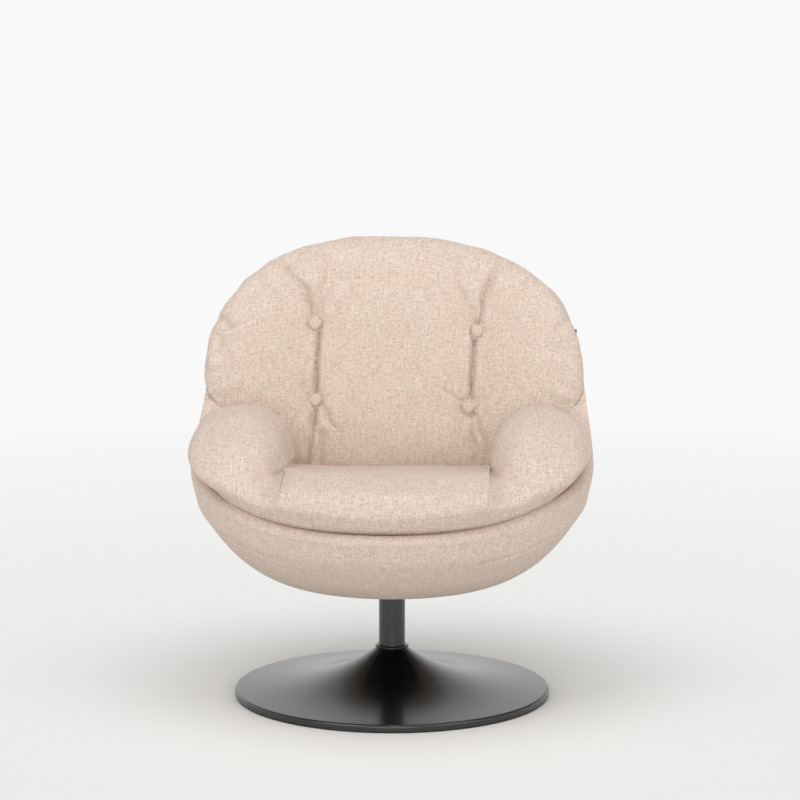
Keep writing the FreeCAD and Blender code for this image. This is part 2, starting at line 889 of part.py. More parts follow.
os.makedirs("parts", exist_ok=True)
for name, make in nodes.items():
    shape = make()
    shape.exportStep(os.path.join("parts", name + ".step"))
    box = shape.BoundBox
    print(
        name, "valid" if shape.isValid() else "NOT VALID", len(shape.Solids), "solids",
        round(shape.Volume / 1000, 1), "cm3", "z", round(box.ZMin, 1), round(box.ZMax, 1),
    )
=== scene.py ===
import json
import math

import bpy
import numpy as np
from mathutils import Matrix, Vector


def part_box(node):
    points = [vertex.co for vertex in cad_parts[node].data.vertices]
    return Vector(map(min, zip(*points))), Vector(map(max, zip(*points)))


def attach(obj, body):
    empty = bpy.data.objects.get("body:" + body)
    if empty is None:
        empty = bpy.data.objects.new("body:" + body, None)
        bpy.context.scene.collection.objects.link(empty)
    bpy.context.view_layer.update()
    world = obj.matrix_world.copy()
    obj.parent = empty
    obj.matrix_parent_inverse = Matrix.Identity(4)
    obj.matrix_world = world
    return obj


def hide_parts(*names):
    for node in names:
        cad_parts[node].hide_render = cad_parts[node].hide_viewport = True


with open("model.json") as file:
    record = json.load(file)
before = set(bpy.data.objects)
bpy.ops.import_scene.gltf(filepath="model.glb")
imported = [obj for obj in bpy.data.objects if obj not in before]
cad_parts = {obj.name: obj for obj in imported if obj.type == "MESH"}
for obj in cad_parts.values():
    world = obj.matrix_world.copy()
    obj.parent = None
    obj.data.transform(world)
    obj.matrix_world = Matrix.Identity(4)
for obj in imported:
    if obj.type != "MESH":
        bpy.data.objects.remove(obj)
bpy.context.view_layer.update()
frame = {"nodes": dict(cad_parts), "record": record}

bl_info = {
    "name": "Swivel barrel chair",
    "version": (1, 0, 0),
    "blender": (4, 5, 0),
    "location": "View3D > Sidebar > Chair",
    "description": "Upholstery, trim and studio for the swivel barrel chair",
    "category": "Add Mesh",
}

# Metres, +Z up, origin on the floor on the swivel axis; the sitter faces -Y.

# Bucket shell, the same form as the solids
shell_half_width = 0.380
shell_front = 0.402
shell_back = 0.339
shell_flat = 0.150
shell_bottom = 0.216
belly_power = 1.6
widest_height = 0.440
back_height = 0.802
back_taper = 0.040
back_lean = 0.13
belly_shift = 0.5
cover_inset = 0.014
wall_inset = 0.0363
rim_front_height = 0.360
rim_side_height = 0.434
rim_roll = 0.016
rim_band = 0.018
deck_bottom = 0.2565
deck_height = 0.305
deck_inset = 0.0366
recess_radius = 0.116
lining_outer = 0.0216
lining_inner = 0.036
lining_hole = 0.1123
lining_below = rim_band + 0.0005

# Back cushion, the same frame as the solid
pillow_half_width = 0.370
pillow_bottom = 0.340
pillow_top = 0.857
pillow_widest = 0.592
pillow_tilt = math.radians(16.0)
pillow_roll = math.radians(2.4)
pillow_shift = -0.003
pillow_fan = 0.5
pillow_foot_depth = 0.174
pillow_wrap = 0.110
pillow_front = 0.090
pillow_rear = 0.088

# Buttons of the back cushion, in its own frame (across, up), and their depth there
tufts = ((-0.155, 0.077), (-0.155, -0.075), (0.155, 0.077), (0.155, -0.075))
button_seat = 0.0625
button_radius = 0.016

# Least gaps from a cushion to the shell and the deck, and to the other cushion
shell_gap = 0.0012
cushion_gap = 0.0015


def linear(code):
    """Linear colour of an sRGB hex value."""
    parts = [int(code[i:i + 2], 16) / 255 for i in (1, 3, 5)]
    return tuple(c / 12.92 if c <= 0.04045 else ((c + 0.055) / 1.055) ** 2.4 for c in parts)


class ChairColours(bpy.types.PropertyGroup):
    """Colours of the chair's finishes."""

    cloth_pale: bpy.props.FloatVectorProperty(
        name="Pale thread", description="Lightest yarn of the melange cloth",
        subtype="COLOR", size=3, min=0, max=1, default=linear("#E3D6CA"))
    cloth_middle: bpy.props.FloatVectorProperty(
        name="Middle thread", description="Main yarn of the melange cloth",
        subtype="COLOR", size=3, min=0, max=1, default=linear("#CFBDAF"))
    cloth_dark: bpy.props.FloatVectorProperty(
        name="Dark thread", description="Darkest yarn of the melange cloth",
        subtype="COLOR", size=3, min=0, max=1, default=linear("#A39083"))
    coat: bpy.props.FloatVectorProperty(
        name="Powder coat", description="Colour of the base and column",
        subtype="COLOR", size=3, min=0, max=1, default=linear("#0B0B0B"))


class ChairSizes(bpy.types.PropertyGroup):
    """Sizes of the soft parts that the upholstery adds to the solids."""

    tuft_depth: bpy.props.FloatProperty(
        name="Tuft depth", description="How deep the buttons are drawn into the back cushion",
        unit="LENGTH", default=0.023, min=0.0, max=0.06)
    crease_depth: bpy.props.FloatProperty(
        name="Crease depth", description="Depth of the back's folds, height of the seat's",
        unit="LENGTH", default=0.008, min=0.0, max=0.02)
    seat_crest: bpy.props.FloatProperty(
        name="Seat crest", description="Height of the seat cushion's front crest above the floor",
        unit="LENGTH", default=0.450, min=0.42, max=0.47)
    arm_half: bpy.props.FloatProperty(
        name="Arm half width", description="Half the width of an arm pad",
        unit="LENGTH", default=0.092, min=0.07, max=0.11)
    unevenness: bpy.props.FloatProperty(
        name="Unevenness", description="Height of the gentle lumps in the stuffing",
        unit="LENGTH", default=0.0025, min=0.0, max=0.01)


# Shapes


def lumps(points, cell, seed):
    """Value noise, -1 to 1: random heights at the corners of cubes of one cell,
    blended between the eight corners with a smoothstep weight on each axis."""
    size = 64
    table = np.random.RandomState(seed).uniform(-1, 1, (size, size, size))
    scaled = points / cell
    base = np.floor(scaled).astype(int)
    part = scaled - base
    part = part * part * (3 - 2 * part)
    total = np.zeros(points.shape[:-1])
    for dx in (0, 1):
        for dy in (0, 1):
            for dz in (0, 1):
                weight = (np.abs(1 - dx - part[..., 0]) * np.abs(1 - dy - part[..., 1])
                          * np.abs(1 - dz - part[..., 2]))
                corner = (base + (dx, dy, dz)) % size
                total += weight * table[corner[..., 0], corner[..., 1], corner[..., 2]]
    return total


def smoothstep(low, high, value):
    """0 below low, 1 above high, with a smooth cubic between."""
    share = np.clip((value - low) / (high - low), 0, 1)
    return share * share * (3 - 2 * share)


def smooth_through(places, knots, values):
    """Piecewise cubic through (knot, value) pairs, with each inner slope the
    mean of its two chords."""
    knots, values = np.asarray(knots, float), np.asarray(values, float)
    chords = np.diff(values) / np.diff(knots)
    slopes = np.concatenate([chords[:1], (chords[1:] + chords[:-1]) / 2, chords[-1:]])
    index = np.clip(np.searchsorted(knots, places) - 1, 0, len(knots) - 2)
    width = knots[index + 1] - knots[index]
    t = np.clip((places - knots[index]) / width, 0, 1)
    return ((2 * t ** 3 - 3 * t ** 2 + 1) * values[index]
            + (t ** 3 - 2 * t ** 2 + t) * width * slopes[index]
            + (3 * t ** 2 - 2 * t ** 3) * values[index + 1]
            + (t ** 3 - t ** 2) * width * slopes[index + 1])


def smooth_loop(corners, samples):
    """Closed smooth curves through corners[..., k, :]. Between two corners runs a
    cubic whose end slopes weigh the two chords there by the other's length."""
    after = np.roll(corners, -1, axis=-2)
    step = after - corners
    length = np.maximum(np.linalg.norm(step, axis=-1, keepdims=True), 1e-9)
    before_step = np.roll(step, 1, axis=-2)
    before_length = np.roll(length, 1, axis=-2)
    slope = (step / length * before_length + before_step / before_length * length) / (
        length + before_length)
    next_slope = np.roll(slope, -1, axis=-2)
    runs = []
    for k, count in enumerate(samples):
        t = (np.arange(count) / count)[:, None]
        first, last = corners[..., k, None, :], after[..., k, None, :]
        start, end = slope[..., k, None, :], next_slope[..., k, None, :]
        span = length[..., k, None, :]
        runs.append((2 * t ** 3 - 3 * t ** 2 + 1) * first + (t ** 3 - 2 * t ** 2 + t) * span * start
                    + (3 * t ** 2 - 2 * t ** 3) * last + (t ** 3 - t ** 2) * span * end)
    return np.concatenate(runs, axis=-2)


def arc_lengths(points, axis):
    """Length run along a grid's lines, in metres, from their first point."""
    steps = np.linalg.norm(np.diff(points, axis=axis), axis=-1)
    start = np.zeros_like(np.take(steps, [0], axis=axis))
    return np.concatenate([start, np.cumsum(steps, axis=axis)], axis=axis)


def grid_faces(rows, columns, wrap_rows):
    """Corners of the quads of a grid whose columns wrap round, and their places in
    a grid of UVs that has one more column, and one more row where the rows wrap."""
    r, c = np.meshgrid(np.arange(rows - (not wrap_rows)), np.arange(columns), indexing="ij")
    r, c = r.ravel(), c.ravel()
    ring = np.stack([r, r, r + 1, r + 1], 1), np.stack([c, c + 1, c + 1, c], 1)
    return (ring[0] % rows) * columns + ring[1] % columns, ring


def mesh_object(name, points, faces, caps=(), uv=None):
    """Object at the origin from whole arrays. Faces are turned to point outwards,
    by the sign of the volume that they enclose."""
    mesh = bpy.data.meshes.new(name)
    mesh.from_pydata(points.tolist(), [], faces.tolist() + list(caps))
    if uv is not None:
        corners = np.zeros((len(mesh.loops), 2), np.float32)
        corners[:len(uv)] = uv
        mesh.uv_layers.new(name="weave").data.foreach_set("uv", corners.ravel())
    middle = points.mean(0)
    a, b, c, d = (points[faces[:, k]] - middle for k in range(4))
    volume = (np.einsum("ij,ij->i", a, np.cross(b, c))
              + np.einsum("ij,ij->i", a, np.cross(c, d))).sum()
    if volume < 0:
        mesh.flip_normals()
    mesh.validate()
    mesh.shade_smooth()
    made = bpy.data.objects.new(name, mesh)
    bpy.context.scene.collection.objects.link(made)
    return made


def laid_on(corners):
    """Lays cloth on each face from the axis that it looks along most."""
    normal = np.cross(corners[:, 2] - corners[:, 0], corners[:, 3] - corners[:, 1])
    axis = np.abs(normal * (1, 1.15, 1)).argmax(-1)[:, None, None]
    x, y, z = corners[..., 0:1], corners[..., 1:2], corners[..., 2:3]
    return np.concatenate([np.where(axis == 0, y, x), np.where(axis == 2, y, z)], -1)


def surface(name, grid, wrap_rows=False, uv=None):
    """Mesh of a grid of points whose columns wrap round. Where the rows don't
    wrap, each end row is closed by one polygon. UVs are the lengths run along the
    grid, unless they are given or the cloth is "laid on"."""
    rows, columns = grid.shape[:2]
    faces, (r, c) = grid_faces(rows, columns, wrap_rows)
    if isinstance(uv, str):
        uv = laid_on(grid.reshape(-1, 3)[faces])
        r, c = np.indices(uv.shape[:2])
    if uv is None:
        closed = np.concatenate([grid, grid[:1]], 0) if wrap_rows else grid
        closed = np.concatenate([closed, closed[:, :1]], 1)
        uv = np.stack([arc_lengths(closed, 0), arc_lengths(closed, 1)], -1)
    caps = []
    if not wrap_rows:
        caps = [list(range(columns))[::-1], list(range((rows - 1) * columns, rows * columns))]
    return mesh_object(name, grid.reshape(-1, 3), faces, caps, uv[r, c].reshape(-1, 2))


def grid_normals(grid):
    """Unit normals of a grid whose columns wrap round, from the differences to
    each point's neighbours. They point in where its rows rise and its columns run
    round the axis, as on the cover, and out on the seat cushion."""
    ended = np.concatenate([grid[:1], grid, grid[-1:]], 0)
    down = ended[2:] - ended[:-2]
    round_it = np.roll(grid, -1, 1) - np.roll(grid, 1, 1)
    normal = np.cross(down, round_it)
    return normal / np.maximum(np.linalg.norm(normal, axis=-1, keepdims=True), 1e-12)


def level_circle(turn, radius, height):
    """Points at one height and radius about the swivel axis."""
    return np.stack(np.broadcast_arrays(
        radius * np.cos(turn), radius * np.sin(turn), height), -1)


def fold_across(away, width, ridge):
    """Profile across a fold: exp(-away / width), less a low bump three widths away.
    The back cushion is drawn in by it, and the seat cushion raised."""
    return np.exp(-away / width) - ridge * np.exp(-((away - 3 * width) / (2 * width)) ** 2)


# Bucket shell


def shell_plan(height, inset):
    """Half width, front reach, back reach and centre of the shell's level section.
    Below the widest height the reaches grow as the root of 1 - drop ** 1.6, and
    above it the width tapers with the square of the rise while the back leans out."""
    bottom = shell_bottom + inset
    drop = np.clip((widest_height - height) / (widest_height - bottom), 0, 1)
    share = np.sqrt(1 - drop ** belly_power)
    rise = np.maximum(height - widest_height, 0)
    flat = shell_flat - 0.3 * inset
    centre = belly_shift * rise
    half = flat + (shell_half_width - inset - flat) * share
    half = half - back_taper * (rise / (back_height - widest_height)) ** 2
    front = flat + (shell_front - inset - flat) * share + centre
    back = flat + (shell_back - inset - flat) * share + back_lean * rise - centre
    return half, front, back, centre


def shell_point(turn, height, inset):
    """Point of the shell's surface: half ellipses in front and behind share one width."""
    half, front, back, centre = shell_plan(height, inset)
    reach = np.where(np.sin(turn) < 0, front, back)
    return np.stack(np.broadcast_arrays(
        half * np.cos(turn), centre + reach * np.sin(turn), height), -1)


def rim_height(y):
    """Height of the rim line, which sweeps from the low front to the high back."""
    low, high = rim_side_height - rim_front_height, back_height - rim_side_height
    knots = (-0.482, -0.392, -0.3216, -0.209, -0.0724, 0.030, 0.110, 0.165, 0.240, 0.345, 0.469)
    values = (rim_front_height, rim_front_height + low * 0.03, rim_front_height + low * 0.16,
              rim_front_height + low * 0.6, rim_side_height, rim_side_height + high * 0.13,
              rim_side_height + high * 0.34, rim_side_height + high * 0.6,
              rim_side_height + high * 0.85, back_height - 0.005, back_height + 0.010)
    return smooth_through(y, knots, values)


def rim_at(turn, inset):
    """Height at which the shell's surface meets the rim line, by halving steps."""
    turn, inset = np.broadcast_arrays(turn, inset)
    low, high = np.full(turn.shape, 0.30), np.full(turn.shape, 0.95)
    for _ in range(34):
        middle = (low + high) / 2
        above = middle > rim_height(shell_point(turn, middle, inset)[..., 1])
        low, high = np.where(above, low, middle), np.where(above, middle, high)
    return (low + high) / 2


def clear_of_shell(points, swell=0.064, cleft=0.007):
    """Draws points in until they lie inside the shell's lining or over its rim. The
    allowed inset follows the rim's half round up to its top, with a cleft above
    it, then runs out to nothing over the swell's height, as a smooth step."""
    x, y, z = points[..., 0], points[..., 1], points[..., 2]
    top = rim_height(y)
    over = np.clip((z - (top - rim_roll)) / 0.0165, 0, 1)
    beyond = np.clip((z - top - shell_gap) / swell, 0, 1)
    inset = wall_inset / 2 * (1 + np.sqrt(1 - over ** 2)) + shell_gap
    inset = inset - (wall_inset / 2 + shell_gap) * smoothstep(0, 1, beyond)
    inset = inset + cleft * over * np.exp(-(beyond / 0.10) ** 2)
    height = np.clip(z, shell_bottom + inset + 0.002, None)
    half, front, back, centre = shell_plan(height, inset)
    reach = np.where(y < centre, front, back)
    ratio = np.sqrt((x / half) ** 2 + ((y - centre) / reach) ** 2)
    cut = np.minimum(1, 1 / np.maximum(ratio, 1e-9))
    cut = cut + (1 - cut) * smoothstep(0.35, 1, beyond)
    moved = points.copy()
    moved[..., 0] = x * cut
    moved[..., 1] = centre + (y - centre) * cut
    return moved


def cover_grid():
    """Padded cover: up the outside from the recess, over the rolled rim, down the
    inner band and back down the hidden face, as one closed outline at each turn.
    A seam is drawn in along each side, under a soft swelling."""
    turn = np.linspace(0, 2 * math.pi, 360, endpoint=False)[:, None]
    top_out = rim_at(turn, 0.0)
    top_in = rim_at(turn, wall_inset)
    top_hidden = rim_at(turn, cover_inset)
    hidden_bottom = shell_bottom + cover_inset

    def between(first, last, count):
        t = (np.arange(count) / count)[:, None]
        return first + (last - first) * t

    recess = level_circle(turn, recess_radius, shell_bottom)
    hidden_recess = level_circle(turn, recess_radius, hidden_bottom)
    w = np.linspace(0, 1, 90)
    rising = shell_bottom + (top_out - rim_roll - shell_bottom) * w ** 2
    outside = shell_point(turn, rising, 0.0)
    seam = 0.302 + 0.055 * np.abs(np.cos(turn)) ** 4 - 0.03 * np.clip(np.sin(turn), 0, 1)
    away = rising - seam
    stitched = smoothstep(0.35, 0.75, np.abs(np.cos(turn)))
    seam_depth = 0.0040
    push = seam_depth * np.exp(-((away - 0.012) / 0.022) ** 2)
    push = push - seam_depth * stitched * np.exp(-(away / 0.0035) ** 2)
    push = push * smoothstep(0.010, 0.04, top_out - rising)
    outside = outside - grid_normals(outside.swapaxes(0, 1)).swapaxes(0, 1) * push[..., None]
    angle = np.linspace(0, math.pi, 22)[1:-1]
    inset = wall_inset * (1 - np.cos(angle)) / 2
    over = shell_point(turn, rim_at(turn, inset) - rim_roll + rim_roll * np.sin(angle), inset)
    band_foot = shell_point(turn, top_in - rim_band, wall_inset)
    band = between(shell_point(turn, top_in - rim_roll, wall_inset), band_foot, 2)
    ledge = between(band_foot, shell_point(turn, top_hidden - rim_band, cover_inset), 4)
    sinking = hidden_bottom + (top_hidden - rim_band - hidden_bottom) * np.linspace(1, 0, 40) ** 2
    hidden = shell_point(turn, sinking, cover_inset)
    close = between(shell_point(turn, hidden_bottom, cover_inset), hidden_recess, 4)[:, 1:]
    wall = between(hidden_recess, recess, 3)
    bottom = between(recess, shell_point(turn, shell_bottom, 0.0), 8)
    return np.concatenate([bottom, outside, over, band, ledge, hidden, close, wall], 1)


def lining_grid():
    """Padded lining between its two insets, from the round hole in its floor up to
    just under the cover's inner band, as one closed outline at each turn."""
    turn = np.linspace(0, 2 * math.pi, 180, endpoint=False)[:, None]

    def leg(inset, shares):
        top = rim_at(turn, inset) - lining_below
        floor = shell_bottom + inset
        return shell_point(turn, floor + (top - floor) * shares ** 2, inset)

    return np.concatenate([
        level_circle(turn, lining_hole, shell_bottom + lining_outer),
        leg(lining_outer, np.linspace(0, 1, 40)), leg(lining_inner, np.linspace(1, 0, 40)),
        level_circle(turn, lining_hole, shell_bottom + lining_inner)], 1)


def deck_grid():
    """Deck pad in the bottom of the bowl: its side follows the shell, and its two
    level faces close in to a fiftieth of their width."""
    turn = np.linspace(0, 2 * math.pi, 180, endpoint=False)[None, :]
    side = shell_point(turn, np.linspace(deck_bottom, deck_height, 24)[:, None], deck_inset)
    first, last = side[:1], side[-1:]
    core, top = first * (0.02, 0.02, 1), last * (0.02, 0.02, 1)
    share = np.linspace(0, 1, 12)[:, None, None]
    low = core + (first - core) * share
    high = last + (top - last) * share
    grid = np.concatenate([low[:-1], side, high[1:]], 0)
    grid[..., 2] = np.minimum(grid[..., 2], deck_height)
    return grid


# Back cushion


def pillow_frame(across, up, out):
    """Puts points of the cushion's own frame into the chair's: rolled, tilted back
    and wrapped round the sitter with the square of the distance across."""
    share = (across / pillow_half_width) ** 2
    fanned = across * (1 + pillow_fan * up * (1 - share))
    level = fanned * math.cos(pillow_roll) + up * math.sin(pillow_roll) + pillow_shift
    height = up * math.cos(pillow_roll) - fanned * math.sin(pillow_roll)
    foot = (pillow_widest - pillow_bottom) / math.cos(pillow_tilt) + height
    y = pillow_foot_depth + foot * math.sin(pillow_tilt) - out * math.cos(pillow_tilt)
    y = y - pillow_wrap * share
    z = pillow_bottom + foot * math.cos(pillow_tilt) + out * math.sin(pillow_tilt)
    return np.stack([level, y, z], -1)


def to_line(across, up, line):
    """Distance to a broken line, and the share run along it at the nearest point."""
    line = np.asarray(line, float)
    lengths = np.linalg.norm(np.diff(line, axis=0), axis=1)
    start = np.concatenate([[0], np.cumsum(lengths)])
    best = np.full(across.shape, 1e9)
    along = np.zeros(across.shape)
    for first, last, length, run in zip(line[:-1], line[1:], lengths, start):
        t = np.clip(((across - first[0]) * (last[0] - first[0])
                     + (up - first[1]) * (last[1] - first[1])) / length ** 2, 0, 1)
        away = np.hypot(across - first[0] - t * (last[0] - first[0]),
                        up - first[1] - t * (last[1] - first[1]))
        nearer = away < best
        best = np.where(nearer, away, best)
        along = np.where(nearer, (run + t * length) / start[-1], along)
    return best, along


# Channels from button to button, along which the back cushion is drawn in
channels = (
    ((-0.228, 0.262), (-0.192, 0.184), (-0.161, 0.103), (-0.157, 0.077), (-0.149, 0.026),
     (-0.153, -0.075), (-0.161, -0.133), (-0.180, -0.260)),
    ((0.176, 0.262), (0.166, 0.184), (0.157, 0.106), (0.154, 0.076), (0.155, 0.001),
     (0.155, -0.074), (0.165, -0.127), (0.179, -0.260)),
)
# Folds pulled by the buttons: line, strength and half width
folds = (
    (((-0.149, 0.068), (-0.147, 0.026), (-0.152, -0.066)), 1.6, 0.0030),
    (((0.151, 0.066), (0.154, -0.007), (0.157, -0.064)), 1.6, 0.0030),
    (((-0.161, 0.091), (-0.170, 0.138), (-0.191, 0.173), (-0.211, 0.195), (-0.238, 0.219)),
     1.0, 0.0035),
    (((-0.150, 0.091), (-0.143, 0.147), (-0.137, 0.183), (-0.129, 0.235)), 0.6, 0.0050),
    (((0.151, 0.089), (0.127, 0.140), (0.111, 0.166), (0.081, 0.220)), 0.7, 0.0045),
    (((0.157, 0.089), (0.157, 0.133), (0.163, 0.160), (0.172, 0.197), (0.187, 0.226)), 1.0, 0.0035),
    (((-0.155, -0.084), (-0.161, -0.133), (-0.168, -0.165), (-0.182, -0.210)), 1.0, 0.0035),
    (((-0.146, -0.084), (-0.131, -0.109), (-0.112, -0.132)), 0.7, 0.0040),
    (((-0.146, -0.138), (-0.145, -0.171), (-0.146, -0.216)), 0.8, 0.0045),
    (((0.161, -0.084), (0.169, -0.127), (0.184, -0.188)), 0.8, 0.0035),
    (((0.167, -0.081), (0.190, -0.125), (0.206, -0.169)), 0.9, 0.0035),
    (((0.102, -0.044), (0.126, -0.058), (0.145, -0.068)), 0.5, 0.0045),
    (((-0.372, 0.100), (-0.336, 0.093), (-0.305, 0.060)), 1.2, 0.0050),
    (((0.372, 0.140), (0.331, 0.130), (0.300, 0.080)), 0.9, 0.0060),
    (((-0.340, 0.050), (-0.325, 0.020), (-0.322, -0.010)), 0.5, 0.0080),
    (((0.345, 0.060), (0.325, 0.045), (0.290, 0.050)), 0.5, 0.0080),
)


def pillow_grid(sizes):
    """Stuffed cushion of a front and a rear panel. Each is a fan of rings inside a
    rounded outline. The thickness falls to nothing at the edge as
    (1 - ring ** 4) ** 0.45, the channels are drawn in as exp(-away / 45 mm), and
    sharp folds lie on top. The front is level under each button."""
    turn = np.linspace(0, 2 * math.pi, 470, endpoint=False)[None, :]
    even = np.linspace(0.004, 0.86, 110)
    edge = 1 - 0.14 * (1 - np.linspace(0, 1, 32)[1:]) ** 2
    ring = np.concatenate([even, edge])[:, None]
    cos, sin = np.cos(turn), np.sin(turn)
    power = 2 / 2.15
    wide = pillow_half_width * np.sign(cos) * np.abs(cos) ** power
    reach = np.where(sin > 0, pillow_top - pillow_widest, pillow_widest - pillow_bottom)
    tall = reach / math.cos(pillow_tilt) * np.sign(sin) * np.abs(sin) ** power
    rim = np.stack([wide, tall, 0 * wide], -1)
    scallop = 1 + 0.006 * lumps(rim, 0.030, 4) * smoothstep(-0.05, 0.1, tall)
    across, up = ring * wide * scallop, ring * tall * scallop
    full = (1 - np.clip(ring, 0, 1) ** 4) ** 0.45
    flat = np.stack([across, up, 0 * across], -1)

    pull = np.zeros(across.shape)
    for line in channels:
        away, along = to_line(across, up, line)
        fade = np.minimum(1, 3.2 * np.minimum(along, 1 - along) + 0.25)
        pull = np.maximum(pull, fade * np.exp(-away / 0.045))
    front = pillow_front * full - sizes.tuft_depth * pull * full
    # A dimple round each button, in a wider hollow
    from_tufts = [np.hypot(across - x, up - level) for x, level in tufts]
    for away in from_tufts:
        front -= 0.007 * np.exp(-(away / 0.019) ** 2)
        front -= 0.004 * np.exp(-away / 0.035)
    # The lines of the folds wander by up to 4 mm
    wander = 0.004 * lumps(flat, 0.030, 11), 0.004 * lumps(flat, 0.030, 12)
    for line, strength, width in folds:
        away, along = to_line(across + wander[0], up + wander[1], line)
        fade = np.minimum(1, 6 * (1 - along) + 0.05)
        front -= sizes.crease_depth * strength * fade * fold_across(away, width, 0.35)
    # Stuffing pushes up in broad and fine lumps, and the cloth gathers at the edge
    front += sizes.unevenness * 1.2 * lumps(flat, 0.085, 5) * full
    front += 0.0010 * lumps(flat, 0.028, 6) * full
    gather = smoothstep(0.72, 0.97, ring) * lumps(rim * (1 + 0.15 * ring[..., None]), 0.020, 7)
    front += 0.0030 * gather * smoothstep(0, 0.1, 1.02 - ring)
    for away in from_tufts:
        seated = np.clip(front, button_seat, button_seat + 0.001)
        front = np.where(away < button_radius, seated, front)
    rear = -pillow_rear * full + 0.0015 * lumps(flat, 0.06, 8) - 0.0015 * gather
    # The rear panel, which is hidden, takes every second ring
    grid = np.concatenate([
        pillow_frame(across, up, front), pillow_frame(across, up, rear)[-2::-2]], 0)
    uv = flat[..., :2]
    uv = np.concatenate([uv, uv[-2::-2]], 0)
    uv = np.concatenate([uv, uv[:, :1]], 1)
    return clear_of_shell(grid, swell=0.012, cleft=0), uv


def front_of(grid):
    """Table of the least y of a surface over cells of x and z, with its gaps filled
    from the neighbouring cells; returns a function of x and z."""
    cell, far = 0.006, 9.0
    low = np.array([-0.42, 0.20])
    table = np.full((140, 120), far)
    place = np.floor((grid.reshape(-1, 3)[:, ::2] - low) / cell).astype(int)
    np.minimum.at(table, (place[:, 0], place[:, 1]), grid.reshape(-1, 3)[:, 1])
    for _ in range(2):
        near = np.minimum.reduce([np.roll(table, s, a) for s in (-1, 1) for a in (0, 1)])
        table = np.where(table == far, near, table)

    def least_y(x, z):
        a, b = (x - low[0]) / cell - 0.5, (z - low[1]) / cell - 0.5
        i = np.clip(a.astype(int), 0, table.shape[0] - 2)
        j = np.clip(b.astype(int), 0, table.shape[1] - 2)
        u, v = np.clip(a - i, 0, 1), np.clip(b - j, 0, 1)
        return (table[i, j] * (1 - u) * (1 - v) + table[i + 1, j] * u * (1 - v)
                + table[i, j + 1] * (1 - u) * v + table[i + 1, j + 1] * u * v)
    return least_y


# Seat cushion with arm pads

# Its centre line, half of it: level, then a bend, then up the arm
seat_flat = 0.184
bend_radius = 0.100
bend_angle = math.radians(78)
bend_length = bend_radius * bend_angle
arm_straight = 0.030
arm_tip = 0.090
path_height = 0.356

# Folds where an arm pad leaves the seat: line, strength and half width. The first
# lies in the cloth and stands up from it. The others run just off it, so only their
# low bumps reach it, and draw it in by less than 2 mm.
seat_folds = (
    (((0.199, -0.215, 0.447), (0.205, -0.310, 0.446), (0.214, -0.352, 0.436),
      (0.228, -0.370, 0.418), (0.240, -0.380, 0.400)), 1.5, 0.0070),
    (((0.192, -0.318, 0.450), (0.206, -0.350, 0.438), (0.213, -0.368, 0.418)), 0.9, 0.0050),
    (((0.300, -0.290, 0.470), (0.312, -0.292, 0.448), (0.316, -0.290, 0.430)), 0.7, 0.0060),
)


def to_line_3d(points, line):
    """Distance in space to a broken line, and the share run along it."""
    lengths = np.linalg.norm(np.diff(line, axis=0), axis=1)
    start = np.concatenate([[0], np.cumsum(lengths)])
    best = np.full(points.shape[:-1], 1e9)
    along = np.zeros(best.shape)
    for first, last, length, run in zip(line[:-1], line[1:], lengths, start):
        t = np.clip(((points - first) @ (last - first)) / length ** 2, 0, 1)
        away = np.linalg.norm(points - first - t[..., None] * (last - first), axis=-1)
        nearer = away < best
        best = np.where(nearer, away, best)
        along = np.where(nearer, (run + t * length) / start[-1], along)
    return best, along


def seat_path(distance):
    """Centre line: level across the seat, a tight turn at its side, then up the arm.
    Returns x, z and the angle of the line."""
    side = np.sign(distance)
    along = np.abs(distance)
    bent = np.clip((along - seat_flat) / bend_radius, 0, bend_angle)
    rest = np.maximum(along - seat_flat - bend_length, 0)
    x = np.minimum(along, seat_flat) + bend_radius * np.sin(bent) + rest * np.cos(bend_angle)
    z = path_height + bend_radius * (1 - np.cos(bent)) + rest * np.sin(bend_angle)
    return side * x, z, side * bent


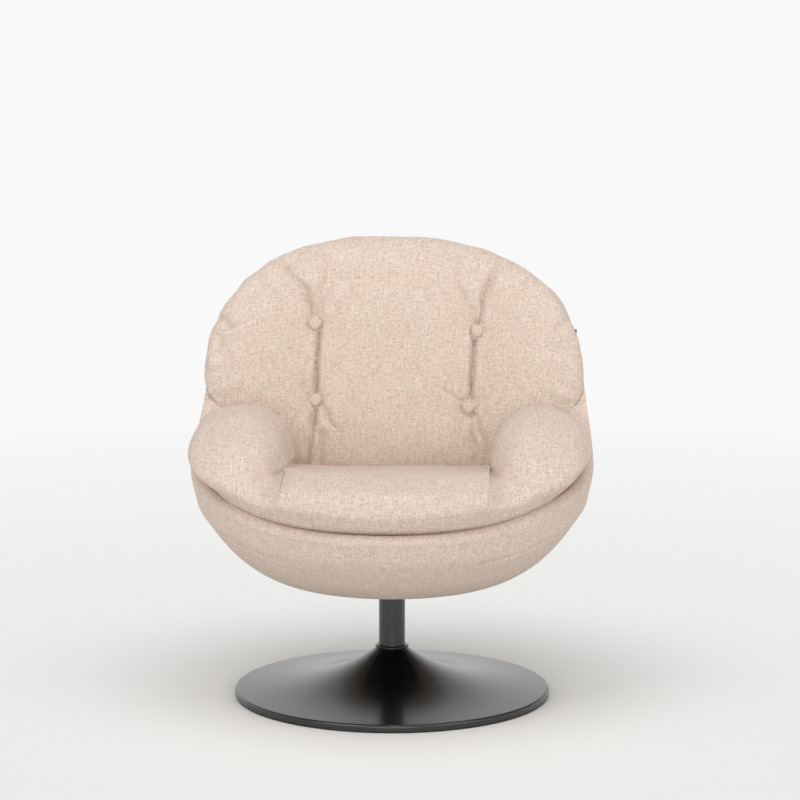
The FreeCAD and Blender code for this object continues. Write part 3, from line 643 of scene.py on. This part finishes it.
def seat_grid(sizes, pillow):
    """One stuffed piece: a closed section of twelve corners is carried along the
    centre line, square to it. The section blends from the flat seat to the round
    arm pad with the line's angle, and shrinks as a quarter circle at each tip. It
    is held inside the shell, off the deck and in front of the back cushion, whose
    least y the function pillow gives."""
    end = seat_flat + bend_length + arm_straight
    run = np.linspace(0, end, 120)
    cap = np.radians(np.linspace(0, 89, 26))[1:]
    along = np.concatenate([run, end + arm_tip * np.sin(cap)])
    share = np.concatenate([np.ones(len(run)), np.cos(cap) ** 0.9])
    distance = np.concatenate([-along[:0:-1], along])
    share = np.concatenate([share[:0:-1], share])
    x, z, angle = seat_path(distance)
    arm = smoothstep(0, bend_angle, np.abs(angle))

    def blend(on_seat, on_arm):
        return on_seat + (on_arm - on_seat) * arm

    # The front edge is rounded to follow the shell, and leans back up the arms
    reach = np.clip(np.abs(x) / 0.396, 0, 1)
    front = 0.045 * np.clip((z - 0.44) / 0.10, 0, 1) - 0.384 * np.sqrt(1 - reach ** 2.2)
    rear = blend(0.150, 0.120)
    middle = (front + rear) / 2
    # Heights above the centre line, then depths below it, then lengths of the ends
    crest = blend(sizes.seat_crest - path_height, sizes.arm_half)
    middle_top = blend(0.087, sizes.arm_half + 0.006)
    rear_top = blend(0.056, sizes.arm_half)
    under_front = blend(-0.006, 0.076)
    under = blend(0.060, 0.088)
    nose_top = blend(0.040, 0.085)
    nose_low = blend(0.030, 0.080)
    tail = blend(0.030, 0.075)

    def corner(y, h):
        return np.stack([y, h + 0 * y], -1)

    corners = np.stack([
        corner(front, (crest - under_front) / 2),
        corner(front + 0.27 * nose_top, crest - 0.30 * nose_top),
        corner(front + nose_top, crest),
        corner(front * 0.45 + rear * 0.55, middle_top),
        corner(rear - tail, rear_top),
        corner(rear - 0.29 * tail, rear_top - 0.29 * tail),
        corner(rear, (rear_top - under * 0.8) / 2),
        corner(rear - 0.29 * tail, -under * 0.8 + 0.29 * tail),
        corner(rear - tail, -under * 0.9),
        corner(middle, -under),
        corner(front + nose_low, -under_front),
        corner(front + 0.27 * nose_low, -under_front + 0.30 * nose_low),
    ], 1)
    centre = np.stack([middle, 0 * middle], -1)[:, None, :]
    corners = centre + (corners - centre) * share[:, None, None]
    loop = smooth_loop(corners, (10, 10, 34, 34, 8, 8, 8, 8, 16, 16, 8, 8))
    y, h = loop[..., 0], loop[..., 1]
    grid = np.stack([x[:, None] - np.sin(angle)[:, None] * h, y,
                     z[:, None] + np.cos(angle)[:, None] * h], -1)
    raised = sizes.unevenness * lumps(grid, 0.09, 21) + 0.0010 * lumps(grid, 0.03, 22)
    wander = grid + 0.004 * np.stack([lumps(grid, 0.03, seed) for seed in (23, 24, 25)], -1)
    for line, strength, width in seat_folds:
        for side in (-1, 1):
            away, share_run = to_line_3d(wander, np.array(line) * (side, 1, 1))
            fade = np.minimum(1, 4 * (1 - share_run) + 0.05) * np.minimum(1, 3.5 * share_run)
            raised = raised + sizes.crease_depth * strength * fade * fold_across(away, width, 0.3)
    grid = clear_of_shell(grid + grid_normals(grid) * raised[..., None])
    grid[..., 1] = np.minimum(grid[..., 1], pillow(grid[..., 0], grid[..., 2]) - cushion_gap)
    grid[..., 2] = np.maximum(grid[..., 2], deck_height + shell_gap)
    return grid


# Materials


def add_node(tree, kind, sockets=None, **settings):
    """Adds a node with its settings, and sets or links its sockets."""
    made = tree.nodes.new(kind)
    for key, value in settings.items():
        setattr(made, key, value)
    for key, value in (sockets or {}).items():
        if isinstance(value, bpy.types.NodeSocket):
            tree.links.new(value, made.inputs[key])
        else:
            made.inputs[key].default_value = value
    return made


def new_material(name, sockets):
    """Material of one shader with its sockets set; returns the material, tree and shader."""
    made = bpy.data.materials.new(name)
    made.use_nodes = True
    tree = made.node_tree
    tree.nodes.clear()
    shader = add_node(tree, "ShaderNodeBsdfPrincipled", sockets)
    add_node(tree, "ShaderNodeOutputMaterial", {"Surface": shader.outputs[0]})
    return made, tree, shader


def four(colour):
    return (colour[0], colour[1], colour[2], 1.0)


def melange_cloth(name, colours):
    """Woven chenille-and-linen melange: matt, softly lit by its nap, with pale, sand
    and brown yarns. Its yarns are 1.1 mm apart, and slubs run 8 to 36 mm along them."""
    made, tree, shader = new_material(name, {
        "Roughness": 0.95, "Specular IOR Level": 0.2, "Sheen Weight": 0.12,
        "Sheen Roughness": 0.45, "Sheen Tint": (1.0, 0.93, 0.87, 1.0)})
    place = add_node(tree, "ShaderNodeUVMap", uv_map="weave").outputs["UV"]

    def streaks(across, along, seed):
        spread = add_node(tree, "ShaderNodeMapping", {
            "Vector": place, "Location": (seed, seed * 0.37, 0),
            "Scale": (1 / across, 1 / along, 1)})
        noise = add_node(tree, "ShaderNodeTexNoise", {
            "Vector": spread.outputs[0], "Scale": 1.0, "Detail": 1.0, "Roughness": 0.5})
        return noise.outputs["Fac"]

    yarn = add_node(tree, "ShaderNodeMath", {
        0: streaks(0.0011, 0.008, 3.1), 1: streaks(0.008, 0.0011, 7.7)}, operation="ADD")
    slub = add_node(tree, "ShaderNodeMath", {
        0: streaks(0.0024, 0.036, 1.3), 1: streaks(0.024, 0.0024, 5.9)}, operation="ADD")
    both = add_node(tree, "ShaderNodeMath", {0: slub.outputs[0], 1: 0.6, 2: yarn.outputs[0]},
                    operation="MULTIPLY_ADD")
    level = add_node(tree, "ShaderNodeMapRange", {
        "Value": both.outputs[0], "From Min": 1.10, "From Max": 2.10})
    ramp = add_node(tree, "ShaderNodeValToRGB", {"Fac": level.outputs[0]})
    ramp.color_ramp.elements[0].color = four(colours.cloth_dark)
    ramp.color_ramp.elements[1].color = four(colours.cloth_pale)
    middle = ramp.color_ramp.elements.new(0.5)
    middle.color = four(colours.cloth_middle)
    where = add_node(tree, "ShaderNodeTexCoord").outputs["Object"]
    patch = add_node(tree, "ShaderNodeTexNoise", {
        "Vector": where, "Scale": 24.0, "Detail": 4.0, "Roughness": 0.65})
    warm = add_node(tree, "ShaderNodeMapRange", {
        "Value": patch.outputs["Fac"], "From Min": 0.4, "From Max": 0.7, "To Max": 0.16})
    tint = add_node(tree, "ShaderNodeMix", {
        0: warm.outputs[0], 6: ramp.outputs[0], 7: four(linear("#C7A497"))},
        data_type="RGBA", blend_type="MIX")
    tree.links.new(tint.outputs[2], shader.inputs["Base Color"])
    bump = add_node(tree, "ShaderNodeBump", {
        "Height": both.outputs[0], "Strength": 0.45, "Distance": 0.0010})
    tree.links.new(bump.outputs[0], shader.inputs["Normal"])
    return made


def powder_coat(name, colours):
    """Satin black powder coat: a fine orange peel of about 1.5 mm breaks up broad
    soft reflections."""
    made, tree, shader = new_material(name, {
        "Base Color": four(colours.coat), "Specular IOR Level": 0.8})
    where = add_node(tree, "ShaderNodeTexCoord").outputs["Object"]
    peel = add_node(tree, "ShaderNodeTexNoise", {
        "Vector": where, "Scale": 650.0, "Detail": 1.0, "Roughness": 0.5})
    bump = add_node(tree, "ShaderNodeBump", {
        "Height": peel.outputs["Fac"], "Strength": 0.03, "Distance": 0.0003})
    tree.links.new(bump.outputs[0], shader.inputs["Normal"])
    wear = add_node(tree, "ShaderNodeTexNoise", {
        "Vector": where, "Scale": 9.0, "Detail": 4.0, "Roughness": 0.6})
    rough = add_node(tree, "ShaderNodeMapRange", {
        "Value": wear.outputs["Fac"], "From Min": 0.3, "From Max": 0.7,
        "To Min": 0.20, "To Max": 0.22})
    tree.links.new(rough.outputs[0], shader.inputs["Roughness"])
    return made


def plain_finish(name, code, roughness, metallic, grain, cell):
    """Even finish with a fine grain in its surface, cell metres across."""
    made, tree, shader = new_material(name, {"Roughness": roughness, "Metallic": metallic})
    where = add_node(tree, "ShaderNodeTexCoord").outputs["Object"]
    noise = add_node(tree, "ShaderNodeTexNoise", {
        "Vector": where, "Scale": 1 / cell, "Detail": 2.0, "Roughness": 0.5})
    shade = add_node(tree, "ShaderNodeMapRange", {
        "Value": noise.outputs["Fac"], "From Min": 0.3, "From Max": 0.7,
        "To Min": 0.88, "To Max": 1.08})
    colour = add_node(tree, "ShaderNodeMix", {
        0: 1.0, 6: four(linear(code)), 7: shade.outputs[0]},
        data_type="RGBA", blend_type="MULTIPLY")
    tree.links.new(colour.outputs[2], shader.inputs["Base Color"])
    bump = add_node(tree, "ShaderNodeBump", {
        "Height": noise.outputs["Fac"], "Strength": grain, "Distance": 0.0006})
    tree.links.new(bump.outputs[0], shader.inputs["Normal"])
    return made


# Even finishes by slot: name, colour, roughness, metallic, strength of the grain and
# its cell in metres. Steels and bronze gleam, and the rest is matt, but for the ring.
plain_finishes = {
    # Polished moulding: narrow, bright reflections
    "gloss_black_plastic": ("gloss_black_moulding", "#0C0C0C", 0.16, 0.0, 0.02, 0.002),
    "black_rubber": ("matt_black_rubber", "#151515", 0.75, 0.0, 0.3, 0.002),
    # Rolled plate under a film of oil: a dull, cloudy gleam
    "raw_steel": ("oiled_mill_steel", "#8D8B88", 0.45, 1.0, 0.12, 0.004),
    "zinc_steel": ("zinc_plated_steel", "#B9BCC0", 0.35, 1.0, 0.06, 0.002),
    "bearing_steel": ("ground_bearing_steel", "#C4C5C8", 0.2, 1.0, 0.04, 0.001),
    # Pressed powder: open pores dull the metal
    "bronze": ("sintered_bronze", "#A98352", 0.5, 1.0, 0.2, 0.0008),
    "plywood": ("sanded_birch_plywood", "#C9A77C", 0.7, 0.0, 0.15, 0.006),
    "moulded_plastic": ("moulded_shell_plastic", "#2A2A2A", 0.6, 0.0, 0.15, 0.0015),
    # Cloth and twine: no gloss, with the grain of their threads
    "lining_foam": ("calico_covered_foam", "#D9CFBC", 0.95, 0.0, 0.5, 0.0012),
    "black_cambric": ("black_cambric_cloth", "#191919", 0.95, 0.0, 0.5, 0.0012),
    "waxed_twine": ("waxed_tufting_twine", "#B7A27F", 0.7, 0.0, 0.5, 0.0008),
}
finishes = {}


def finish_of(slot):
    """The Blender material of one of the record's slots, made once."""
    if slot not in finishes:
        colours = bpy.context.scene.chair_colours
        if slot == "sand_melange_fabric":
            finishes[slot] = melange_cloth(slot, colours)
        elif slot == "satin_black_powder_coat":
            finishes[slot] = powder_coat(slot, colours)
        else:
            finishes[slot] = plain_finish(*plain_finishes[slot])
    return finishes[slot]


def dress(piece, body, slot, replaced=()):
    """Gives a new piece its material and body, and hides what it stands for."""
    piece.data.materials.clear()
    piece.data.materials.append(finish_of(slot))
    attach(piece, body)
    if replaced:
        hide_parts(*replaced)
    return piece


# Studio

studio_white = "#F9F9F9"
camera_distance = 4.0
camera_height = 1.014
camera_side = math.radians(2.5)
camera_pitch = math.radians(90 - 6.44)
lamps = (
    ("key_softbox", (-2.0, -2.4, 3.0), 2.2, 36.0),
    ("fill_softbox", (2.6, -2.0, 2.6), 2.2, 27.0),
    ("top_softbox", (0.0, -0.6, 3.4), 2.4, 30.0),
    ("front_softbox", (0.2, -4.4, 0.25), 2.2, 52.0),
)
lamp_aim = (0, 0, 0.45)


def floor_paint():
    """Matt pale paint that shows as white as the background away from the chair."""
    paint, tree, shader = new_material("pale_studio_floor", {
        "Base Color": four(linear("#ECECEA")), "Roughness": 0.7, "Specular IOR Level": 0.1})
    where = add_node(tree, "ShaderNodeTexCoord").outputs["Object"]
    away = add_node(tree, "ShaderNodeVectorMath", {0: where}, operation="LENGTH")
    far = add_node(tree, "ShaderNodeMapRange", {
        "Value": away.outputs["Value"], "From Min": 0.34, "From Max": 0.95, "To Max": 1.0},
        interpolation_type="SMOOTHSTEP")
    path = add_node(tree, "ShaderNodeLightPath")
    seen = add_node(tree, "ShaderNodeMath", {
        0: path.outputs["Is Camera Ray"], 1: path.outputs["Is Glossy Ray"]},
        operation="MAXIMUM")
    share = add_node(tree, "ShaderNodeMath", {
        0: far.outputs[0], 1: seen.outputs[0]}, operation="MULTIPLY")
    toward = add_node(tree, "ShaderNodeMapRange", {
        "Value": away.outputs["Value"], "From Min": 0.8, "From Max": 4.5, "To Max": 1.0})
    tone = add_node(tree, "ShaderNodeMix", {
        0: toward.outputs[0], 6: four(linear("#EBEBEA")), 7: four(linear(studio_white))},
        data_type="RGBA")
    white = add_node(tree, "ShaderNodeEmission", {"Color": tone.outputs[2], "Strength": 1.0})
    mixed = add_node(tree, "ShaderNodeMixShader", {
        0: share.outputs[0], 1: shader.outputs[0], 2: white.outputs[0]})
    output = next(node for node in tree.nodes if node.type == "OUTPUT_MATERIAL")
    tree.links.new(mixed.outputs[0], output.inputs["Surface"])
    return paint


def studio_world():
    """Plain white to the camera. It lights the chair as a white room does, brightest
    at the walls and dimmer overhead."""
    world = bpy.data.worlds.new("studio")
    world.use_nodes = True
    tree = world.node_tree
    tree.nodes.clear()
    path = add_node(tree, "ShaderNodeLightPath")
    plain = add_node(tree, "ShaderNodeBackground", {
        "Color": four(linear(studio_white)), "Strength": 1.0})
    toward = add_node(tree, "ShaderNodeSeparateXYZ", {
        0: add_node(tree, "ShaderNodeTexCoord").outputs["Generated"]})
    level = add_node(tree, "ShaderNodeMapRange", {
        "Value": toward.outputs["Z"], "From Min": 0.28, "From Max": 0.62,
        "To Min": 1.05, "To Max": 0.42}, interpolation_type="SMOOTHSTEP")
    glow = add_node(tree, "ShaderNodeBackground", {
        "Color": (1, 1, 1, 1), "Strength": level.outputs[0]})
    mixed = add_node(tree, "ShaderNodeMixShader", {
        0: path.outputs["Is Camera Ray"], 1: glow.outputs[0], 2: plain.outputs[0]})
    add_node(tree, "ShaderNodeOutputWorld", {"Surface": mixed.outputs[0]})
    return world


class CHAIR_OT_stage(bpy.types.Operator):
    """Makes the floor, the lights and the camera"""

    bl_idname = "chair.stage"
    bl_label = "Studio"

    def execute(self, context):
        scene = context.scene
        camera = bpy.data.cameras.new("photo_camera")
        camera.lens = 96.0
        camera.sensor_width = 36.0
        camera.shift_x = 0.01
        view = bpy.data.objects.new("photo_camera", camera)
        view.location = (camera_distance * math.sin(camera_side),
                         -camera_distance * math.cos(camera_side), camera_height)
        view.rotation_euler = (camera_pitch, 0, camera_side)
        scene.collection.objects.link(view)
        scene.camera = view
        scene.view_settings.view_transform = "Standard"

        size = 14.0
        corners = np.array([(-size, -size, 0), (size, -size, 0), (size, size, 0), (-size, size, 0)])
        floor = mesh_object("studio_floor", corners, np.array([[0, 1, 2, 3]]))
        floor.location.z = -0.0002
        floor.data.materials.append(floor_paint())
        scene.world = studio_world()

        for name, place, width, power in lamps:
            light = bpy.data.lights.new(name, "AREA")
            light.shape = "SQUARE"
            light.size = width
            light.energy = power
            lamp = bpy.data.objects.new(name, light)
            lamp.location = place
            aim = np.array(lamp_aim) - np.array(place)
            tilt = math.atan2(math.hypot(aim[0], aim[1]), -aim[2])
            lamp.rotation_euler = (tilt, 0, math.atan2(aim[1], aim[0]) - math.pi / 2)
            scene.collection.objects.link(lamp)
        return {"FINISHED"}


# Upholstery that follows the solids


def islands(points):
    """Splits a cloud of points into groups: first by side, then by level."""
    for side in (points[:, 0] < 0, points[:, 0] >= 0):
        level = points[side][:, 2]
        middle = (level.min() + level.max()) / 2
        for part in (level > middle, level <= middle):
            yield points[side][part]


def node_points(name):
    """Places of a carried-over node's points."""
    mesh = frame["nodes"][name].data
    flat = np.zeros(3 * len(mesh.vertices), np.float32)
    mesh.vertices.foreach_get("co", flat)
    return flat.reshape(-1, 3).astype(float)


def button_grids():
    """Covered buttons where the solid ones are: a dome with a soft edge, gathered
    under at the rear. The axis is the direction in which each is thinnest."""
    for points in islands(node_points("tuft_buttons")):
        middle = (points.min(0) + points.max(0)) / 2
        _, axes = np.linalg.eigh(np.cov((points - middle).T))
        axis = axes[:, 0] * (-1 if axes[1, 0] > 0 else 1)
        side = np.cross(axis, (0, 0, 1))
        side = side / np.linalg.norm(side)
        other = np.cross(side, axis)
        along = (points - middle) @ axis
        across = points - middle - along[:, None] * axis
        radius = np.linalg.norm(across, axis=1).max()
        low, high = along.min(), along.max()
        edge = low + 0.40 * (high - low)
        angle = np.radians(np.linspace(0, 90, 14))
        dome = [(radius * np.cos(a), edge + (high - edge) * np.sin(a)) for a in angle[:-1]]
        under = [(radius * np.cos(a), edge - (edge - low) * np.sin(a)) for a in angle[4::4]]
        outline = [(0.0004, low)] + under[::-1] + dome + [(0.0004, high)]
        turn = np.linspace(0, 2 * math.pi, 48, endpoint=False)
        ring = np.cos(turn)[:, None] * side + np.sin(turn)[:, None] * other
        yield np.array([middle + height * axis + spread * ring for spread, height in outline])


def sheet_grid(radius, hole, low, high):
    """Round dust cover, pulled tight across its recess: very slightly hollow, with
    faint radial pleats where it is stapled."""
    turn = np.linspace(0, 2 * math.pi, 144, endpoint=False)
    spread = np.linspace(hole, radius, 24)
    share = (spread - hole) / (radius - hole)
    pleat = 0.00025 * share[:, None] ** 2 * np.cos(24 * turn)[None, :]
    lower = low + 0.00045 - 0.0001 * np.sin(math.pi * share)[:, None] + pleat
    upper = lower + (high - low) * 0.45
    lower, upper = (level_circle(turn, spread[:, None], face) for face in (lower, upper))
    return np.concatenate([lower, upper[::-1]], 0)


def tab_and_shade_strip_grid(side):
    """Short black strip at the side of the back cushion, at the seam. On the right it is a webbing
    tab; on the left it is painted shade, a dark sheet that stands for the shadow in a pucker of the
    edge.
    """
    edge = pillow_half_width * 0.936
    # The left strip sits lower, in the pucker whose shadow it paints.
    low, high = (0.098, 0.110) if side > 0 else (0.088, 0.100)
    outline = [(-0.016, 0.0008), (0.003, 0.0008), (0.0042, 0), (0.003, -0.0008), (-0.016, -0.0008)]
    return np.array([[pillow_frame(np.float64(side * (edge + across)), level, out)
                      for across, out in outline] for level in np.linspace(low, high, 5)])


class CHAIR_OT_shell(bpy.types.Operator):
    """Makes the padded cover, the lining, the deck pad and the dust sheet of the shell"""

    bl_idname = "chair.shell"
    bl_label = "Bucket shell"

    def execute(self, context):
        grid = cover_grid()
        closed = np.concatenate([grid, grid[:, :1]], 1)
        rise = arc_lengths(np.concatenate([closed, closed[:1]], 0), 1)
        turn = np.linspace(0, 2 * math.pi, len(grid) + 1)[:, None] + 0 * rise
        mean_radius = 0.39
        uv = np.stack([turn * mean_radius, rise], -1)
        cover = surface("shell_padding", grid, wrap_rows=True, uv=uv)
        dress(cover, "seat", "sand_melange_fabric", ["shell_cover"])
        low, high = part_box("dust_cover")
        size = high[0] - low[0]
        hole = np.hypot(*node_points("dust_cover")[:, :2].T).min()
        dust = surface("dust_sheet", sheet_grid(size / 2, hole, low[2], high[2]), wrap_rows=True)
        dress(dust, "seat", "black_cambric", ["dust_cover"])
        lining = surface("lining_padding", lining_grid(), wrap_rows=True)
        dress(lining, "seat", "lining_foam", ["shell_lining"])
        pad = surface("deck_padding", deck_grid())
        dress(pad, "seat", "lining_foam", ["deck_foam"])
        return {"FINISHED"}


class CHAIR_OT_cushions(bpy.types.Operator):
    """Makes the back cushion and the seat cushion with its arm pads"""

    bl_idname = "chair.cushions"
    bl_label = "Cushions"

    def execute(self, context):
        sizes = context.scene.chair_sizes
        grid, uv = pillow_grid(sizes)
        back = surface("back_pillow", grid, uv=uv)
        dress(back, "seat", "sand_melange_fabric", ["back_cushion"])
        grid = seat_grid(sizes, front_of(grid))
        seat = surface("seat_pillow", grid, uv="laid on")
        dress(seat, "seat", "sand_melange_fabric", ["seat_cushion"])
        stacks = [surface("button", grid) for grid in button_grids()]
        with context.temp_override(active_object=stacks[0], selected_editable_objects=stacks):
            bpy.ops.object.join()
        stacks[0].name = "button_covers"
        dress(stacks[0], "seat", "sand_melange_fabric", ["tuft_buttons"])
        # The left strip is painted shade in a pucker of the cushion's edge; the right one is a
        # webbing tab.
        for side, name in ((-1, "left_pucker_shade"), (1, "right_tab")):
            dress(surface(name, tab_and_shade_strip_grid(side)), "seat", "black_cambric")
        return {"FINISHED"}


class CHAIR_OT_finishes(bpy.types.Operator):
    """Gives each carried-over node its material"""

    bl_idname = "chair.finishes"
    bl_label = "Hard parts"

    def execute(self, context):
        slots = {part["node"]: part["material_slot"] for part in frame["record"]["subparts"]}
        for name, piece in frame["nodes"].items():
            piece.data.materials.clear()
            piece.data.materials.append(finish_of(slots[name]))
        return {"FINISHED"}


class CHAIR_PT_panel(bpy.types.Panel):
    """Lists the chair's operators and values"""

    bl_label = "Barrel chair"
    bl_idname = "CHAIR_PT_panel"
    bl_space_type = "VIEW_3D"
    bl_region_type = "UI"
    bl_category = "Chair"

    def draw(self, context):
        for operator in operators:
            self.layout.operator(operator.bl_idname)
        for group in (context.scene.chair_sizes, context.scene.chair_colours):
            for name in group.bl_rna.properties.keys():
                if name not in ("rna_type", "name"):
                    self.layout.prop(group, name)


operators = (CHAIR_OT_stage, CHAIR_OT_finishes, CHAIR_OT_shell, CHAIR_OT_cushions)
classes = (ChairColours, ChairSizes) + operators + (CHAIR_PT_panel,)


def register():
    for item in classes:
        bpy.utils.register_class(item)
    bpy.types.Scene.chair_colours = bpy.props.PointerProperty(type=ChairColours)
    bpy.types.Scene.chair_sizes = bpy.props.PointerProperty(type=ChairSizes)


def unregister():
    del bpy.types.Scene.chair_sizes
    del bpy.types.Scene.chair_colours
    for item in reversed(classes):
        bpy.utils.unregister_class(item)


def main():
    register()
    for operator in operators:
        group, name = operator.bl_idname.split(".")
        getattr(getattr(bpy.ops, group), name)()


if __name__ == "__main__":
    main()
